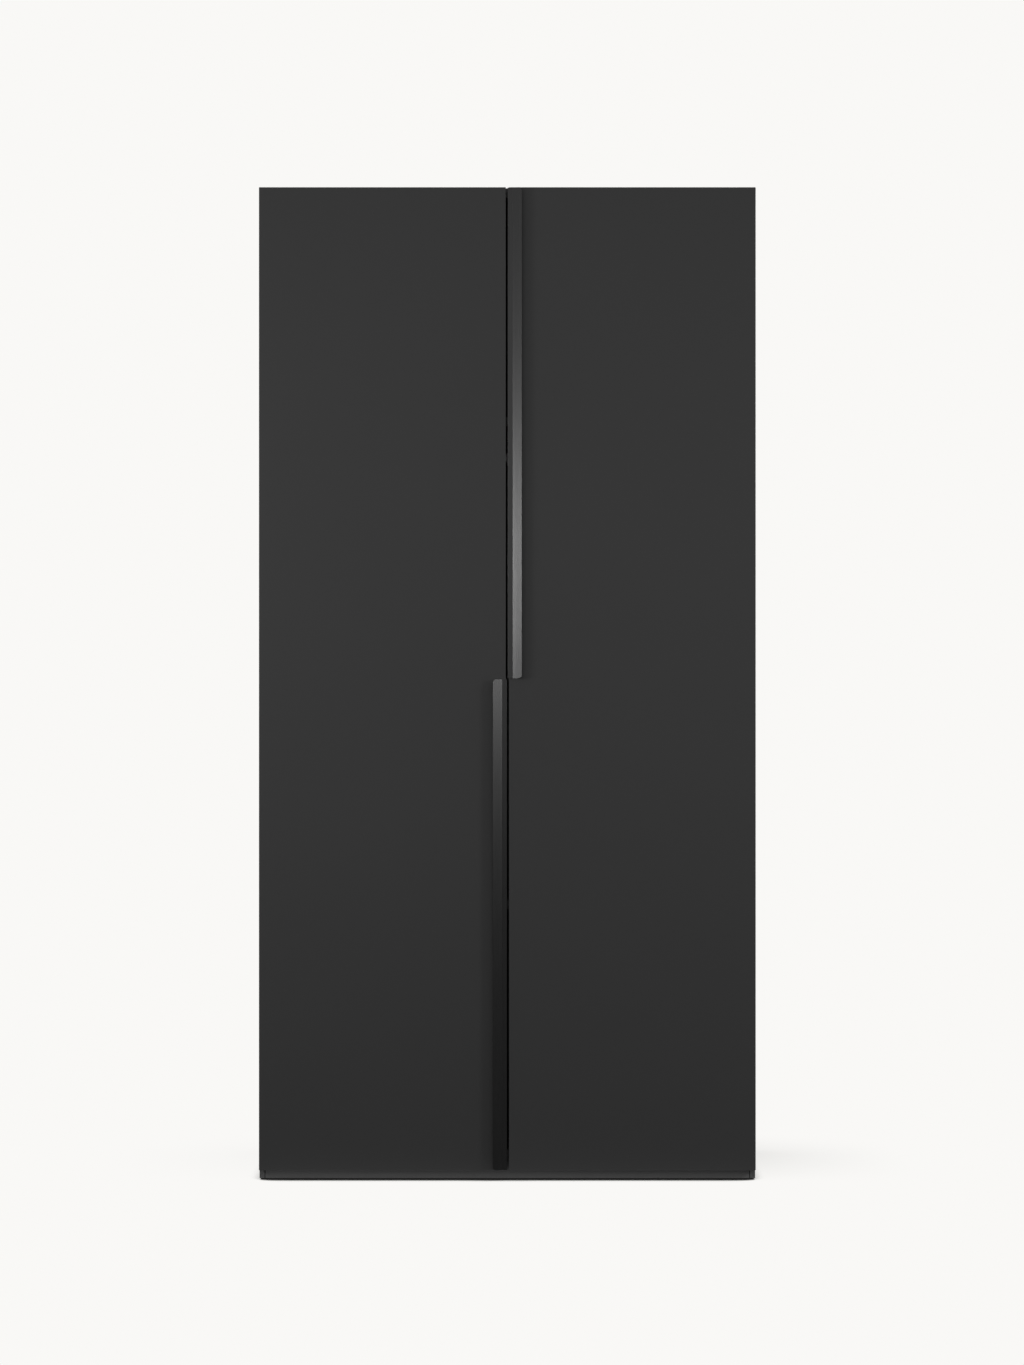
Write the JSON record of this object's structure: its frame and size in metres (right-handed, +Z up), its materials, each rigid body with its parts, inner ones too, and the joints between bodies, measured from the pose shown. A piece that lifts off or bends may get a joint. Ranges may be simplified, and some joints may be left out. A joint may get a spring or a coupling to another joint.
{
  "type": "two-door wardrobe",
  "caption": "Tall wardrobe with full-overlay matt doors on concealed hinges, staggered half-height grip profiles, shelves, hanging rail and levelling feet.",
  "frame": {"origin": "on the floor, under the middle of the whole box (handles included)", "axes": "+X to the right seen from the front, +Y towards the back, +Z up; the doors face -Y"},
  "size_m": [1, 0.6144, 2],
  "materials": {
    "graphite_board": "matt graphite melamine board with matching edge band",
    "graphite_door": "super-matt graphite lacquer on smooth board",
    "back_board": "thin fibreboard, graphite face",
    "handle_profile": "satin dark graphite extruded profile",
    "hinge_nickel": "nickel-plated pressed steel",
    "rail_steel": "satin steel tube",
    "zinc_steel": "zinc-plated steel",
    "black_plastic": "matt black moulded plastic",
    "bumper_rubber": "soft dark grey elastomer"
  },
  "bodies": {
    "carcass": {"top_panel": "graphite_board", "bottom_panel": "graphite_board", "upper_shelf": "graphite_board", "lower_shelf": "graphite_board", "plinth_front": "graphite_board", "plinth_rear": "graphite_board", "back_joint_strip": "black_plastic", "hanging_rail": "rail_steel", "side_panel_left": "graphite_board", "back_panel_left": "back_board", "rail_support_left": "rail_steel", "wall_bracket_left": "zinc_steel", "shelf_pin_front_left": "zinc_steel", "foot_socket_front_left": "black_plastic", "shelf_pin_rear_left": "zinc_steel", "foot_socket_rear_left": "black_plastic", "hinge_arm_left_1": "hinge_nickel", "hinge_plate_left_1": "hinge_nickel", "hinge_arm_left_2": "hinge_nickel", "hinge_plate_left_2": "hinge_nickel", "hinge_arm_left_3": "hinge_nickel", "hinge_plate_left_3": "hinge_nickel", "hinge_arm_left_4": "hinge_nickel", "hinge_plate_left_4": "hinge_nickel", "side_panel_right": "graphite_board", "back_panel_right": "back_board", "rail_support_right": "rail_steel", "wall_bracket_right": "zinc_steel", "shelf_pin_front_right": "zinc_steel", "foot_socket_front_right": "black_plastic", "shelf_pin_rear_right": "zinc_steel", "foot_socket_rear_right": "black_plastic", "hinge_arm_right_1": "hinge_nickel", "hinge_plate_right_1": "hinge_nickel", "hinge_arm_right_2": "hinge_nickel", "hinge_plate_right_2": "hinge_nickel", "hinge_arm_right_3": "hinge_nickel", "hinge_plate_right_3": "hinge_nickel", "hinge_arm_right_4": "hinge_nickel", "hinge_plate_right_4": "hinge_nickel"},
    "left_door": {"door_left": "graphite_door", "handle_left": "handle_profile", "door_bumper_lower_left": "bumper_rubber", "door_bumper_upper_left": "bumper_rubber", "hinge_cup_left_1": "hinge_nickel", "hinge_cup_left_2": "hinge_nickel", "hinge_cup_left_3": "hinge_nickel", "hinge_cup_left_4": "hinge_nickel"},
    "right_door": {"door_right": "graphite_door", "handle_right": "handle_profile", "door_bumper_lower_right": "bumper_rubber", "door_bumper_upper_right": "bumper_rubber", "hinge_cup_right_1": "hinge_nickel", "hinge_cup_right_2": "hinge_nickel", "hinge_cup_right_3": "hinge_nickel", "hinge_cup_right_4": "hinge_nickel"},
    "front_left_foot": {"foot_screw_front_left": "zinc_steel"},
    "front_right_foot": {"foot_screw_front_right": "zinc_steel"},
    "rear_left_foot": {"foot_screw_rear_left": "zinc_steel"},
    "rear_right_foot": {"foot_screw_rear_right": "zinc_steel"}
  },
  "joints": [
    {"name": "left_door_hinge", "type": "hinge", "parent": "carcass", "child": "left_door", "pos_m": [-0.493, -0.28285, 1.0105], "axis": [0, 0, -1], "range_deg": [0, 105]},
    {"name": "right_door_hinge", "type": "hinge", "parent": "carcass", "child": "right_door", "pos_m": [0.493, -0.28285, 1.0105], "axis": [0, 0, 1], "range_deg": [0, 105]},
    {"name": "front_left_foot_screw", "type": "slide", "parent": "carcass", "child": "front_left_foot", "axis": [0, 0, -1], "range_m": [0, 0.012]},
    {"name": "front_right_foot_screw", "type": "slide", "parent": "carcass", "child": "front_right_foot", "axis": [0, 0, -1], "range_m": [0, 0.012]},
    {"name": "rear_left_foot_screw", "type": "slide", "parent": "carcass", "child": "rear_left_foot", "axis": [0, 0, -1], "range_m": [0, 0.012]},
    {"name": "rear_right_foot_screw", "type": "slide", "parent": "carcass", "child": "rear_right_foot", "axis": [0, 0, -1], "range_m": [0, 0.012]}
  ]
}
